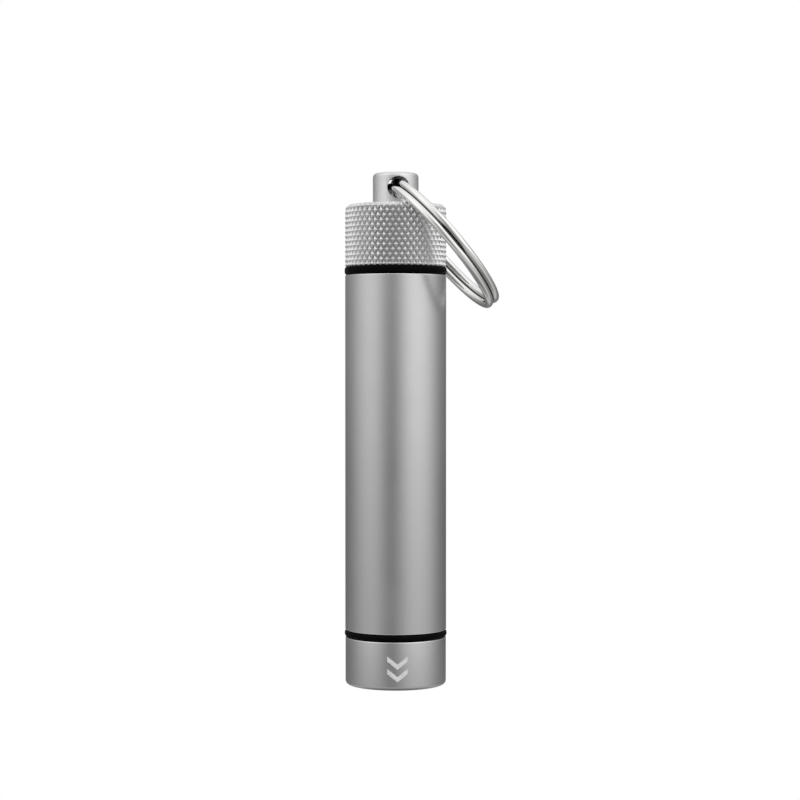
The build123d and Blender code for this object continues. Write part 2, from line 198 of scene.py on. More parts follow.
# ---- Light: the tent's levels by degrees round from the camera's side, then by height ----
TENT_R = 600 * MM
TENT_HEIGHT = 35 * MM
FLOOR_R = 0.95 * TENT_R
SOFTBOX_SIDE = 700 * MM
SOFTBOX_HEIGHT = 550 * MM
SOFTBOX_WATTS = 5.5
TENT_STRENGTH = 2.0
TENT_LEVELS = [
    (-180, 0.12),
    (-150, 0.12),
    (-115, 0.20),
    (-90, 0.37),
    (-65, 0.50),
    (-42, 0.47),
    (-22, 0.20),
    (-6, 0.115),
    (10, 0.31),
    (30, 0.555),
    (50, 0.61),
    (75, 0.53),
    (100, 0.28),
    (125, 0.15),
    (150, 0.12),
    (180, 0.12),
]
TENT_WALL = [(0.0, 0.0), (0.25, 0.2), (0.4, 0.58), (0.55, 1.0), (0.68, 1.05), (0.85, 0.6), (1.0, 0.0)]
TENT_ENDS = [(0.0, 0.10), (0.2, 0.24), (0.33, 0.06), (0.45, 0.0), (0.7, 0.0), (0.86, 0.34), (1.0, 0.50)]

# ---- Camera ----
CAMERA_AZIMUTH = radians(-7.7)
CAMERA_DISTANCE = 282.8 * MM
CAMERA_HEIGHT = 44.6 * MM
CAMERA_PITCH = radians(1.0475)
CAMERA_YAW = radians(0.1209)
LENS_MM = 91.73


# ======== Mesh helpers ========

def new_object(name, vertices, faces, materials, face_materials=None, sharp=SHARP_EDGE):
    """A linked mesh object with outward normals and smooth shading between sharp edges."""
    mesh = bpy.data.meshes.new(name)
    mesh.from_pydata([tuple(v) for v in vertices], [], [tuple(f) for f in faces])
    for material in materials:
        mesh.materials.append(material)
    if face_materials is not None:
        mesh.polygons.foreach_set("material_index", np.array(face_materials, np.int32))
    obj = bpy.data.objects.new(name, mesh)
    bpy.context.scene.collection.objects.link(obj)
    tidy(mesh, sharp)
    return obj


def tidy(mesh, sharp):
    """Outward normals, and smooth shading where faces meet at less than the given angle."""
    form = bmesh.new()
    form.from_mesh(mesh)
    bmesh.ops.remove_doubles(form, verts=form.verts, dist=SAME_PLACE)
    bmesh.ops.dissolve_degenerate(form, dist=SAME_PLACE, edges=form.edges)
    bmesh.ops.recalc_face_normals(form, faces=form.faces)
    form.to_mesh(mesh)
    form.free()
    mesh.polygons.foreach_set("use_smooth", [True] * len(mesh.polygons))
    mesh.set_sharp_from_angle(angle=sharp)


def rounded(corners):
    """Outline points from corners (radius, height, rounding, bright): rounded corners become arcs.

    Each point is (radius, height, bright), and bright marks the strip that starts at the point.
    """
    points = []
    last = len(corners) - 1
    for i, (radius, height, rounding, bright) in enumerate(corners):
        corner = Vector((radius, height))
        if rounding == 0:
            points.append((radius, height, 0))
            continue
        before = (Vector(corners[i - 1][:2]) - corner).normalized()
        after = (Vector(corners[0 if i == last else i + 1][:2]) - corner).normalized()
        half = before.angle(after) / 2
        bisector = (before + after).normalized()
        centre = corner + bisector * (rounding / sin(half))
        first = corner + before * (rounding * cos(half) / sin(half)) - centre
        swing = first.angle_signed(-bisector) * 2
        for step in range(ARC_STEPS + 1):
            turned = Matrix.Rotation(-swing * step / ARC_STEPS, 2) @ first
            mark = bright if step < ARC_STEPS else 0
            points.append((centre.x + turned.x, centre.y + turned.y, mark))
    return points


def lathe(name, rows, materials, closed=False, columns=COLUMNS):
    """Solid of revolution from rows (radius, height, material index).

    A radius may be one number or one for each column. A quad between two uneven rows is split
    along its lower diagonal, so that grooves keep their line.
    """
    angles = np.arange(columns) * tau / columns
    vertices = []
    starts = []
    radii = []
    for radius, height, _ in rows:
        starts.append(len(vertices))
        spread = np.broadcast_to(np.asarray(radius, float), columns)
        radii.append(spread)
        if spread.max() == 0:
            vertices.append((0, 0, height))
        else:
            vertices += list(zip(spread * np.cos(angles), spread * np.sin(angles), [height] * columns))
    faces = []
    marks = []
    count = len(rows)
    for i in range(count if closed else count - 1):
        k = (i + 1) % count
        for j in range(columns):
            nxt = (j + 1) % columns
            a, b = starts[i] + j, starts[i] + nxt
            c, d = starts[k] + nxt, starts[k] + j
            if radii[i].max() == 0:
                made = [(starts[i], c, d)]
            elif radii[k].max() == 0:
                made = [(a, b, starts[k])]
            elif np.ptp(radii[i]) < EVEN_ROW and np.ptp(radii[k]) < EVEN_ROW:
                made = [(a, b, c, d)]
            elif radii[i][j] + radii[k][nxt] < radii[i][nxt] + radii[k][j]:
                made = [(a, b, c), (a, c, d)]
            else:
                made = [(a, b, d), (b, c, d)]
            faces += made
            marks += [rows[i][2]] * len(made)
    return new_object(name, vertices, faces, materials, marks)


def sweep_tube(name, centres, across, along, section, materials):
    """Solid swept along points: each ring is the section's (x, y) laid on two unit vectors."""
    vertices = []
    for centre, u, v in zip(centres, across, along):
        for x, y in section:
            vertices.append(centre + u * x + v * y)
    size = len(section)
    faces = []
    for i in range(len(centres) - 1):
        for j in range(size):
            k = (j + 1) % size
            faces.append((i * size + j, i * size + k, (i + 1) * size + k, (i + 1) * size + j))
    faces.append(tuple(range(size)))
    faces.append(tuple(range((len(centres) - 1) * size, len(centres) * size)))
    return new_object(name, vertices, faces, materials, sharp=WIRE_SHARP_EDGE)


def cut(obj, cutter):
    """Takes the cutter's shape out of the object and removes the cutter."""
    change = obj.modifiers.new("cut", "BOOLEAN")
    change.operation = "DIFFERENCE"
    change.solver = "EXACT"
    change.object = cutter
    bpy.context.view_layer.update()
    graph = bpy.context.evaluated_depsgraph_get()
    result = bpy.data.meshes.new_from_object(obj.evaluated_get(graph))
    obj.modifiers.clear()
    old = obj.data
    obj.data = result
    bpy.data.meshes.remove(old)
    bpy.data.objects.remove(cutter)
    tidy(obj.data, SHARP_EDGE)


def place(obj, body, slot, *nodes):
    """Rides the piece on its body and hides the CAD nodes that it stands for; the slot argument is not used."""
    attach(obj, body)
    if nodes:
        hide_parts(*nodes)
    return obj


# ======== Materials ========

def shader(name, colour, metallic=0.0, roughness=0.5, **more):
    """A material with one Principled shader; returns the material, its nodes, links and shader."""
    material = bpy.data.materials.new(name)
    material.use_nodes = True
    material.diffuse_color = (*colour, 1)
    nodes = material.node_tree.nodes
    principled = nodes["Principled BSDF"]
    principled.inputs["Base Color"].default_value = (*colour, 1)
    principled.inputs["Metallic"].default_value = metallic
    principled.inputs["Roughness"].default_value = roughness
    for key, value in more.items():
        principled.inputs[key.replace("_", " ")].default_value = value
    return material, nodes, material.node_tree.links, principled


def grain(nodes, links, size, detail=3, stretch=(1, 1, 1)):
    """Noise in the object's own metres whose features are about the given size across."""
    place_node = nodes.new("ShaderNodeTexCoord")
    scale_node = nodes.new("ShaderNodeMapping")
    scale_node.inputs["Scale"].default_value = stretch
    noise = nodes.new("ShaderNodeTexNoise")
    noise.inputs["Scale"].default_value = 1 / size
    noise.inputs["Detail"].default_value = detail
    links.new(place_node.outputs["Object"], scale_node.inputs["Vector"])
    links.new(scale_node.outputs["Vector"], noise.inputs["Vector"])
    return noise.outputs["Fac"]


def spread(nodes, links, source, low, high, start=0.3, end=0.7):
    """Maps an input from the range start to end onto the range low to high."""
    node = nodes.new("ShaderNodeMapRange")
    node.inputs["From Min"].default_value = start
    node.inputs["From Max"].default_value = end
    node.inputs["To Min"].default_value = low
    node.inputs["To Max"].default_value = high
    links.new(source, node.inputs["Value"])
    return node.outputs["Result"]


def tint(nodes, links, factor, first, second, target):
    """Blends two colours by a factor into the target input."""
    mix = nodes.new("ShaderNodeMix")
    mix.data_type = "RGBA"
    mix.inputs["A"].default_value = (*first, 1)
    mix.inputs["B"].default_value = (*second, 1)
    links.new(factor, mix.inputs["Factor"])
    links.new(mix.outputs["Result"], target)


def bump(nodes, links, height, principled, depth):
    """Raises the surface by the height input times the depth in metres."""
    node = nodes.new("ShaderNodeBump")
    node.inputs["Strength"].default_value = 1.0
    node.inputs["Distance"].default_value = depth
    links.new(height, node.inputs["Height"])
    links.new(node.outputs["Normal"], principled.inputs["Normal"])


def satin_aluminium():
    """Bead-blasted and anodised: fine pits and slow changes of gloss."""
    material, nodes, links, principled = shader("satin_aluminium", (0.60, 0.60, 0.605), 1.0, 0.33)
    patches = grain(nodes, links, 6 * MM)
    links.new(spread(nodes, links, patches, 0.30, 0.36), principled.inputs["Roughness"])
    specks = grain(nodes, links, 0.12 * MM, 4)
    colour = principled.inputs["Base Color"]
    tint(nodes, links, spread(nodes, links, specks, 0, 1), (0.57, 0.57, 0.575), (0.63, 0.63, 0.635), colour)
    bump(nodes, links, grain(nodes, links, 0.09 * MM, 2), principled, 0.0012 * MM)
    return material


def bright_cut():
    """Edge turned after anodising: smooth bare metal with tool lines round the axis."""
    material, nodes, links, principled = shader("bright_cut", (0.86, 0.86, 0.86), 1.0, 0.22)
    lines = grain(nodes, links, 0.03 * MM, 2, (0.02, 0.02, 1))
    links.new(spread(nodes, links, lines, 0.16, 0.28), principled.inputs["Roughness"])
    return material


def knurled_aluminium():
    """Diamond grip: the points are worn bright, and the grooves are darkened with painted shade."""
    material, nodes, links, principled = shader("knurled_aluminium", (0.64, 0.64, 0.645), 1.0, 0.3)
    rise = nodes.new("ShaderNodeAttribute")
    rise.attribute_name = "rise"
    # Worn metal lightens the points; the darker grooves are painted shade.
    wear_and_groove_shade = spread(nodes, links, rise.outputs["Fac"], 0, 1, 0.1, 0.9)
    tint(nodes, links, wear_and_groove_shade, (0.60, 0.60, 0.60), (0.80, 0.80, 0.805), principled.inputs["Base Color"])
    gloss = spread(nodes, links, rise.outputs["Fac"], 0.34, 0.24, 0.2, 0.95)
    links.new(gloss, principled.inputs["Roughness"])
    bump(nodes, links, grain(nodes, links, 0.07 * MM, 3), principled, 0.002 * MM)
    return material


def polished_steel():
    """Nickel-plated wire: a mirror with faint rubbing, darkened where the attribute says: painted shade in the
    groove between the turns, and darker inside the post's hole.
    """
    steel = (0.86, 0.86, 0.85)
    shade_black = (0.02, 0.02, 0.02)
    material, nodes, links, principled = shader("polished_steel", steel, 1.0, 0.05)
    rub = grain(nodes, links, 1.5 * MM, 4)
    links.new(spread(nodes, links, rub, 0.03, 0.08), principled.inputs["Roughness"])
    bump(nodes, links, grain(nodes, links, 0.5 * MM, 2), principled, 0.004 * MM)
    # Near black by the attribute: painted shade in the groove between the turns, and darker inside the post's
    # hole.
    groove_shade_hole_dark = nodes.new("ShaderNodeAttribute")
    groove_shade_hole_dark.attribute_name = "groove_shade_hole_dark"
    tint(nodes, links, groove_shade_hole_dark.outputs["Fac"], steel, shade_black, principled.inputs["Base Color"])
    return material


def black_rubber():
    """Nitrile rubber: black and nearly matt, with a fine moulded skin."""
    material, nodes, links, principled = shader(
        "black_rubber", (0.002, 0.002, 0.0022), 0.0, 0.42, Specular_IOR_Level=0.03)
    patches = grain(nodes, links, 0.8 * MM)
    links.new(spread(nodes, links, patches, 0.34, 0.52), principled.inputs["Roughness"])
    bump(nodes, links, grain(nodes, links, 0.06 * MM, 3), principled, 0.003 * MM)
    return material


def black_foam():
    """Closed-cell foam: small round cells."""
    material, nodes, links, principled = shader("black_foam", (0.015, 0.015, 0.015), 0.0, 0.85)
    cells = nodes.new("ShaderNodeTexVoronoi")
    cells.inputs["Scale"].default_value = 1 / (0.22 * MM)
    where = nodes.new("ShaderNodeTexCoord")
    links.new(where.outputs["Object"], cells.inputs["Vector"])
    bump(nodes, links, cells.outputs["Distance"], principled, 0.06 * MM)
    return material


def clear_glass():
    """Coated lens: clear, with a faint blue cast."""
    material, nodes, links, principled = shader(
        "clear_glass", (0.95, 0.98, 1.0), 0.0, 0.02, IOR=1.5, Transmission_Weight=1.0)
    haze = grain(nodes, links, 2 * MM)
    links.new(spread(nodes, links, haze, 0.01, 0.03), principled.inputs["Roughness"])
    return material


def clear_silicone():
    """Moulded dome over the die, with a slightly uneven skin."""
    material, nodes, links, principled = shader(
        "clear_silicone", (1.0, 0.98, 0.93), 0.0, 0.08, IOR=1.41, Transmission_Weight=1.0)
    bump(nodes, links, grain(nodes, links, 0.4 * MM), principled, 0.004 * MM)
    return material


def bright_reflector():
    """Metallised cup with a trace of orange peel."""
    material, nodes, links, principled = shader("bright_reflector", (0.90, 0.91, 0.92), 1.0, 0.08)
    bump(nodes, links, grain(nodes, links, 0.35 * MM, 2), principled, 0.006 * MM)
    return material


def plain(name, colour, roughness, metallic=0.0, size=0.3, depth=0.004, contrast=0.12):
    """Moulded or coated stock with its own fine grain and a little variation of colour."""
    material, nodes, links, principled = shader(name, colour, metallic, roughness)
    darker = tuple(c * (1 - contrast) for c in colour)
    lighter = tuple(min(1, c * (1 + contrast)) for c in colour)
    patches = spread(nodes, links, grain(nodes, links, 4 * size * MM), 0, 1)
    tint(nodes, links, patches, darker, lighter, principled.inputs["Base Color"])
    gloss = spread(nodes, links, grain(nodes, links, size * MM), roughness * 0.85, roughness * 1.15)
    links.new(gloss, principled.inputs["Roughness"])
    bump(nodes, links, grain(nodes, links, 0.5 * size * MM), principled, depth * MM)
    return material


def cell_label():
    """Plain two-tone sleeve: pale grey, with a slate blue band at the positive end."""
    pale = (0.62, 0.63, 0.64)
    slate = (0.10, 0.17, 0.26)
    material, nodes, links, principled = shader("cell_label", pale, 0.0, 0.25)
    where = nodes.new("ShaderNodeTexCoord")
    parts = nodes.new("ShaderNodeSeparateXYZ")
    links.new(where.outputs["Object"], parts.inputs["Vector"])
    edge = CELL_BOTTOM + CELL_BAND
    blur = 0.05 * MM
    band = spread(nodes, links, parts.outputs["Z"], 1, 0, edge - blur, edge + blur)
    tint(nodes, links, band, pale, slate, principled.inputs["Base Color"])
    return material


MATERIALS = {
    "satin_aluminium": satin_aluminium(),
    "knurled_aluminium": knurled_aluminium(),
    "polished_steel": polished_steel(),
    "black_rubber": black_rubber(),
    "black_foam": black_foam(),
    "clear_glass": clear_glass(),
    "bright_reflector": bright_reflector(),
    "white_nylon": plain("white_nylon", (0.80, 0.80, 0.77), 0.45),
    "white_ceramic": plain("white_ceramic", (0.86, 0.86, 0.83), 0.25),
    "yellow_phosphor": plain("yellow_phosphor", (0.85, 0.62, 0.05), 0.6, size=0.08, depth=0.01),
    "clear_silicone": clear_silicone(),
    "white_board": plain("white_board", (0.78, 0.78, 0.75), 0.3),
    "green_board": plain("green_board", (0.015, 0.12, 0.05), 0.3, size=0.5),
    "brass": plain("brass", (0.75, 0.56, 0.27), 0.25, 1.0, size=0.2, depth=0.002),
    "red_lead": plain("red_lead", (0.50, 0.02, 0.02), 0.4),
    "black_lead": plain("black_lead", (0.02, 0.02, 0.02), 0.4),
    "black_epoxy": plain("black_epoxy", (0.025, 0.025, 0.025), 0.55, size=0.15),
    "tan_ceramic": plain("tan_ceramic", (0.42, 0.30, 0.18), 0.4),
    "nickel_plate": plain("nickel_plate", (0.66, 0.65, 0.62), 0.22, 1.0, size=0.25, depth=0.003),
    "cell_label": cell_label(),
    "cell_mix": plain("cell_mix", (0.04, 0.04, 0.04), 0.9),
    "cell_gel": plain("cell_gel", (0.40, 0.40, 0.42), 0.6),
}
BRIGHT = bright_cut()
POST_SATIN = plain("post_satin", (0.76, 0.76, 0.765), 0.42, 1.0, size=0.15, depth=0.002, contrast=0.04)
# Painted shade: the post's cross hole gets a near-black wall, standing in for the shade inside the hole.
SHADED_BORE = plain("painted_shade_bore", (0.03, 0.03, 0.03), 0.6, 0.3, size=0.2)
MARK = plain("etched_mark", (0.74, 0.74, 0.74), 0.8, size=0.1, depth=0.01)


def dress_cad_nodes():
    """Gives every CAD node the material of its slot in the record."""
    for part in frame["record"]["subparts"]:
        mesh = frame["nodes"][part["node"]].data
        mesh.materials.clear()
        mesh.materials.append(MATERIALS[part["material_slot"]])


# ======== Threads ========

ANGLES = np.arange(COLUMNS) * tau / COLUMNS


def off_ridge(z, reference):
    """How far each column is from the nearest ridge's middle, as a share of the pitch, 0 to 0.5."""
    phase = (z - reference) / THREAD_PITCH - ANGLES / tau
    return np.abs(phase - np.round(phase))


def fade_in(z, low, high):
    """1 inside the threaded length and 0 at its two ends."""
    ramp = 0.5 * THREAD_PITCH
    return float(np.clip(min(z - low, high - z) / ramp, 0, 1))


def outer_thread(low, high, reference):
    """Rows of a plug's right-hand ridge, from low to high."""
    rows = []
    count = round((high - low) / THREAD_STEP)
    for i in range(count + 1):
        z = low + (high - low) * i / count
        away = off_ridge(z, reference) * THREAD_PITCH
        rise = np.clip((OUTER_RIDGE_FOOT - away) / RIDGE_FLANK, 0, 1) * fade_in(z, low, high)
        rows.append((THREAD_ROOT_R + rise * (THREAD_CREST_R - THREAD_ROOT_R), z, 0))
    return rows


def inner_thread(low, high, reference):
    """Rows of a mouth's ridge, which runs midway between the plug's turns."""
    rows = []
    count = round((high - low) / THREAD_STEP)
    for i in range(count + 1):
        z = low + (high - low) * i / count
        away = off_ridge(z, reference + THREAD_PITCH / 2) * THREAD_PITCH
        rise = np.clip((INNER_RIDGE_FOOT - away) / RIDGE_FLANK, 0, 1) * fade_in(z, low, high)
        rows.append((MOUTH_R - rise * (MOUTH_R - THREAD_MINOR_R), z, 0))
    return rows


HEAD_THREAD_START = TUBE_BOTTOM + THREAD_RUNOUT
TAIL_THREAD_START = TAIL_PLUG_BOTTOM + THREAD_RUNOUT
HEAD_THREAD = (TUBE_BOTTOM + THREAD_LEAD, HEAD_PLUG_TOP - PLUG_TIP)
TAIL_THREAD = (TAIL_PLUG_BOTTOM + PLUG_TIP, TUBE_TOP - THREAD_LEAD)


# ======== Barrel ========

def make_tube():
    """Plain tube with a threaded mouth at each end of its bore."""
    deep = HEAD_PLUG_TOP + MOUTH_CLEARANCE
    shallow = TAIL_PLUG_BOTTOM - MOUTH_CLEARANCE
    outside = rounded([
        (MOUTH_R, TUBE_BOTTOM, LIP_EDGE, 1),
        (TUBE_R, TUBE_BOTTOM, RIM_EDGE, 1),
        (TUBE_R, TUBE_TOP, RIM_EDGE, 1),
        (MOUTH_R, TUBE_TOP, LIP_EDGE, 1),
        (MOUTH_R, TUBE_TOP - MOUTH_LEAD, 0, 0),
    ])
    top_thread = inner_thread(TAIL_THREAD[0], TAIL_THREAD[1] - MOUTH_SETBACK, TAIL_THREAD_START)
    bore = rounded([
        (MOUTH_R, shallow, 0, 0),
        (BORE_R, shallow, FINE_EDGE, 0),
        (BORE_R, deep, FINE_EDGE, 0),
        (MOUTH_R, deep, 0, 0),
    ])
    bottom_thread = inner_thread(HEAD_THREAD[0] + MOUTH_SETBACK, HEAD_THREAD[1], HEAD_THREAD_START)
    rows = outside + top_thread[::-1] + bore + bottom_thread[::-1]
    tube = lathe("tube_shell", rows, [MATERIALS["satin_aluminium"], BRIGHT], closed=True)
    return place(tube, "barrel", "satin_aluminium", "body_tube")


def make_seal(name, node, body):
    """Rubber ring with flats where the two shoulders squeeze it."""
    low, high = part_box(node)
    rows = rounded([
        (NECK_R + SQUEEZE, low.z, SEAL_INNER_ROUNDING, 0),
        (high.x, low.z, SEAL_OUTER_ROUNDING, 0),
        (high.x, high.z, SEAL_OUTER_ROUNDING, 0),
        (NECK_R + SQUEEZE, high.z, SEAL_INNER_ROUNDING, 0),
    ])
    seal = lathe(name, rows, [MATERIALS["black_rubber"]], closed=True)
    return place(seal, body, "black_rubber", node)


def make_head():
    """Smooth head with its bezel, threaded plug and bore, as one turned piece."""
    rows = rounded([
        (APERTURE_R, LIP_TOP, 0, 0),
        (APERTURE_R + APERTURE_FLARE, 0, LIP_EDGE, 1),
        (HEAD_R, 0, HEAD_EDGE, 0),
        (HEAD_R, HEAD_TOP, RIM_EDGE, 1),
        (NECK_R, HEAD_TOP, FINE_EDGE, 0),
        (NECK_R, TUBE_BOTTOM + NECK_OVERLAP, FINE_EDGE, 0),
        (THREAD_ROOT_R, TUBE_BOTTOM + NECK_OVERLAP, 0, 0),
    ])
    rows += outer_thread(*HEAD_THREAD, HEAD_THREAD_START)
    rows += rounded([
        (THREAD_ROOT_R, HEAD_PLUG_TOP - PLUG_BEVEL_AXIAL, 0, 0),
        (THREAD_ROOT_R - PLUG_BEVEL_RADIAL, HEAD_PLUG_TOP, 0, 0),
        (BORE_R, HEAD_PLUG_TOP, FINE_EDGE, 0),
        (BORE_R, LIP_TOP, 0, 0),
    ])
    head = lathe("head_body", rows, [MATERIALS["satin_aluminium"], BRIGHT], closed=True)
    return place(head, "head", "satin_aluminium", "head_shell")


def make_mark():
    """Two etched chevrons on the head that point at the light."""
    steps = 12
    low_r, high_r = HEAD_R - MARK_SINK, HEAD_R + MARK_PROUD
    vertices = []
    faces = []
    for number in range(2):
        base = len(vertices)
        top = MARK_TOP - number * MARK_SPACING
        for i in range(2 * steps + 1):
            share = i / steps - 1
            angle = MARK_FACING + share * MARK_HALF_WIDTH / HEAD_R
            upper = top - MARK_DROP * (1 - abs(share))
            lower = upper - MARK_STROKE
            for radius, z in ((low_r, upper), (high_r, upper), (high_r, lower), (low_r, lower)):
                vertices.append((radius * cos(angle), radius * sin(angle), z))
        for i in range(2 * steps):
            for j in range(4):
                k = (j + 1) % 4
                a = base + 4 * i
                faces.append((a + j, a + k, a + 4 + k, a + 4 + j))
        end = base + 8 * steps
        faces.append((base, base + 1, base + 2, base + 3))
        faces.append((end, end + 1, end + 2, end + 3))
    mark = new_object("head_mark", vertices, faces, [MARK])
    return place(mark, "head", "satin_aluminium")


# ======== Tail cap ========

def into_cap_edge(z):
    """0 below the cap's rounded top edge, rising to 1 at the cap's top."""
    return min(1.0, max(0.0, (z - (CAP_TOP - CAP_EDGE_AXIAL)) / CAP_EDGE_AXIAL))


def cap_envelope(z):
    """Radius of the cap over the points of its grip."""
    return CAP_R - CAP_EDGE_RADIAL * into_cap_edge(z) ** CAP_EDGE_POWER


def knurl_rows():
    """Rows of the diamond grip, from its lower edge to the cap's top."""
    low = CAP_BOTTOM + RIM_EDGE
    step = (CAP_TOP - low) / KNURL_ROWS
    across = ANGLES * KNURLS / tau
    rows = []
    for i in range(KNURL_ROWS + 1):
        z = low + i * step
        up = i / (2 * KNURL_DIVISIONS)
        first = np.abs((across + up) % 1 - 0.5) * 2
        second = np.abs((across - up) % 1 - 0.5) * 2
        point = np.minimum(1 - first, 1 - second)
        point = np.minimum(point, KNURL_FLAT) / KNURL_FLAT
        depth = KNURL_DEPTH * (1 - KNURL_EDGE_FADE * into_cap_edge(z))
        if i == 0:
            depth = KNURL_DEPTH * KNURL_RIM
        rows.append((cap_envelope(z) - depth * (1 - point), z, 1))
    return rows


def make_post_hole_cutter():
    """Cross hole along Y whose mouths flare to round the post's edge evenly."""
    columns = SMALL_COLUMNS
    turned = np.arange(columns) * tau / columns
    inner = []
    for step in range(ARC_STEPS + 1):
        turn = step / ARC_STEPS * pi / 2
        radius = POST_HOLE_R + POST_HOLE_EDGE * (1 - cos(turn))
        depth = POST_HOLE_EDGE * (1 - sin(turn))
        inner.append((radius, np.sqrt(POST_R**2 - (radius * np.cos(turned))**2) - depth))
    outer_r = POST_HOLE_R + CUTTER_SPREAD
    inner.append((outer_r, np.sqrt(POST_R**2 - (outer_r * np.cos(turned))**2) + POST_HOLE_EDGE))
    inner.append((outer_r, np.full(columns, POST_R + CUTTER_REACH)))
    rings = [(radius, -reach) for radius, reach in reversed(inner)] + inner
    vertices = []
    for radius, reach in rings:
        for angle, y in zip(turned, reach):
            vertices.append((radius * cos(angle), y, HOLE_Z + radius * sin(angle)))
    faces = []
    inside = []
    for i in range(len(rings) - 1):
        for j in range(columns):
            k = (j + 1) % columns
            below, above = i * columns, (i + 1) * columns
            faces.append((below + j, below + k, above + k, above + j))
            # The middle band is the cross hole's wall, painted near black as shade.
            inside.append(SHADE_SLOT if i == len(inner) - 1 else POST_SLOT)
    faces.append(tuple(range(columns)))
    faces.append(tuple(range((len(rings) - 1) * columns, len(rings) * columns)))
    inside += [POST_SLOT, POST_SLOT]
    return new_object("hole_cutter", vertices, faces, [POST_SATIN] * (POST_SLOT + 1), inside)


def make_tail_cap():
    """Grip, post, threaded plug and spring bore as one turned piece with a cross hole."""
    post = rounded([
        (0, POST_TOP, 0, 0),
        (POST_R, POST_TOP, POST_EDGE, 0),
        (POST_R, CAP_TOP, POST_FOOT_FILLET, 0),
        (CAP_R - CAP_EDGE_RADIAL - CAP_TOP_FLAT, CAP_TOP, 0, 0),
    ])
    rows = [(radius, height, POST_SLOT) for radius, height, _ in post]
    rows += knurl_rows()[::-1]
    rows += rounded([
        (CAP_R - RIM_EDGE, CAP_BOTTOM, CAP_LIP_EDGE, 2),
        (NECK_R, CAP_BOTTOM, 0, 0),
        (NECK_R, TUBE_TOP - NECK_OVERLAP, 0, 0),
        (THREAD_ROOT_R, TUBE_TOP - NECK_OVERLAP, 0, 0),
    ])
    rows += outer_thread(*TAIL_THREAD, TAIL_THREAD_START)[::-1]
    rows += rounded([
        (THREAD_ROOT_R, TAIL_PLUG_BOTTOM + PLUG_BEVEL_AXIAL, 0, 0),
        (THREAD_ROOT_R - PLUG_BEVEL_RADIAL, TAIL_PLUG_BOTTOM, 0, 0),
        (BORE_R, TAIL_PLUG_BOTTOM, 0, 0),
        (BORE_R, CAP_BORE_TOP, 0, 0),
        (0, CAP_BORE_TOP, 0, 0),
    ])
    # Slot 3 is the near-black painted shade on the cross hole's wall.
    slots = [MATERIALS["satin_aluminium"], MATERIALS["knurled_aluminium"], BRIGHT, SHADED_BORE, POST_SATIN]
    cap = lathe("tail_cap_body", rows, slots)
    cut(cap, make_post_hole_cutter())
    mark_rise(cap)
    return place(cap, "tail", "knurled_aluminium", "tail_cap")


def mark_rise(cap):
    """Stores how far each vertex stands out of the grip's grooves, for the grip's material."""
    attribute = cap.data.attributes.new("rise", "FLOAT", "POINT")
    values = []
    for vertex in cap.data.vertices:
        out = sqrt(vertex.co.x**2 + vertex.co.y**2)
        values.append(min(1.0, max(0.0, 1 - (cap_envelope(vertex.co.z) - out) / KNURL_DEPTH)))
    attribute.data.foreach_set("value", values)


# ======== Key ring ========

def wire_section():
    """Rounded rectangle of the split ring's wire, as (outward, sideways) points."""
    points = []
    for out_sign, side_sign, quarter in ((1, 1, 0), (-1, 1, 1), (-1, -1, 2), (1, -1, 3)):
        outward = out_sign * (WIRE_WIDTH / 2 - WIRE_ROUNDING)
        sideways = side_sign * (WIRE_THICKNESS / 2 - WIRE_ROUNDING)
        for step in range(ARC_STEPS + 1):
            angle = (quarter + step / ARC_STEPS) * pi / 2
            points.append((outward + WIRE_ROUNDING * cos(angle), sideways + WIRE_ROUNDING * sin(angle)))
    return points


def make_key_ring():
    """Two turns of wire side by side, joined by a jog, with softened cut ends."""
    down = Vector((cos(RING_SLOPE), 0, -sin(RING_SLOPE)))
    axis = Vector((sin(RING_SLOPE), 0, cos(RING_SLOPE)))
    beside = axis.cross(down)
    centre = Vector((0, 0, HOLE_Z)) + down * (RING_MEAN_R + RING_OFFSET)
    layer = (WIRE_THICKNESS + COIL_GAP) / 2
    first = JOG_START + JOG_SPREAD
    turn = tau - JOG_SPREAD
    total = 2 * turn + JOG_SPREAD
    steps = 480

    def point(travel):
        along_jog = min(1.0, max(0.0, (travel - turn) / JOG_SPREAD))
        angle = first + travel
        outward = down * cos(angle) + beside * sin(angle)
        return centre + outward * RING_MEAN_R - axis * (layer * cos(pi * along_jog)), outward

    travels = [total * i / steps for i in range(steps + 1)]
    centres = []
    across = []
    along = []
    for travel in travels:
        here, outward = point(travel)
        ahead = point(travel + NUDGE)[0] - point(travel - NUDGE)[0]
        centres.append(here)
        across.append(outward)
        along.append(ahead.normalized().cross(outward))
    for index, neighbour in ((0, 1), (-1, -2)):
        inward = (centres[neighbour] - centres[index]).normalized()
        end = centres[index]
        across_end, along_end = across[index] * WIRE_END_SCALE, along[index] * WIRE_END_SCALE
        centres[index] = end + inward * WIRE_END_BEVEL
        if index == 0:
            centres.insert(0, end)
            across.insert(0, across_end)
            along.insert(0, along_end)
        else:
            centres.append(end)
            across.append(across_end)
            along.append(along_end)
    steel = [MATERIALS["polished_steel"]]
    ring = sweep_tube("key_ring_wire", centres, across, along, wire_section(), steel)
    mark_groove_shade_hole_dark(ring, centre, down, beside, axis)
    return place(ring, "key_ring", "polished_steel", "split_ring")


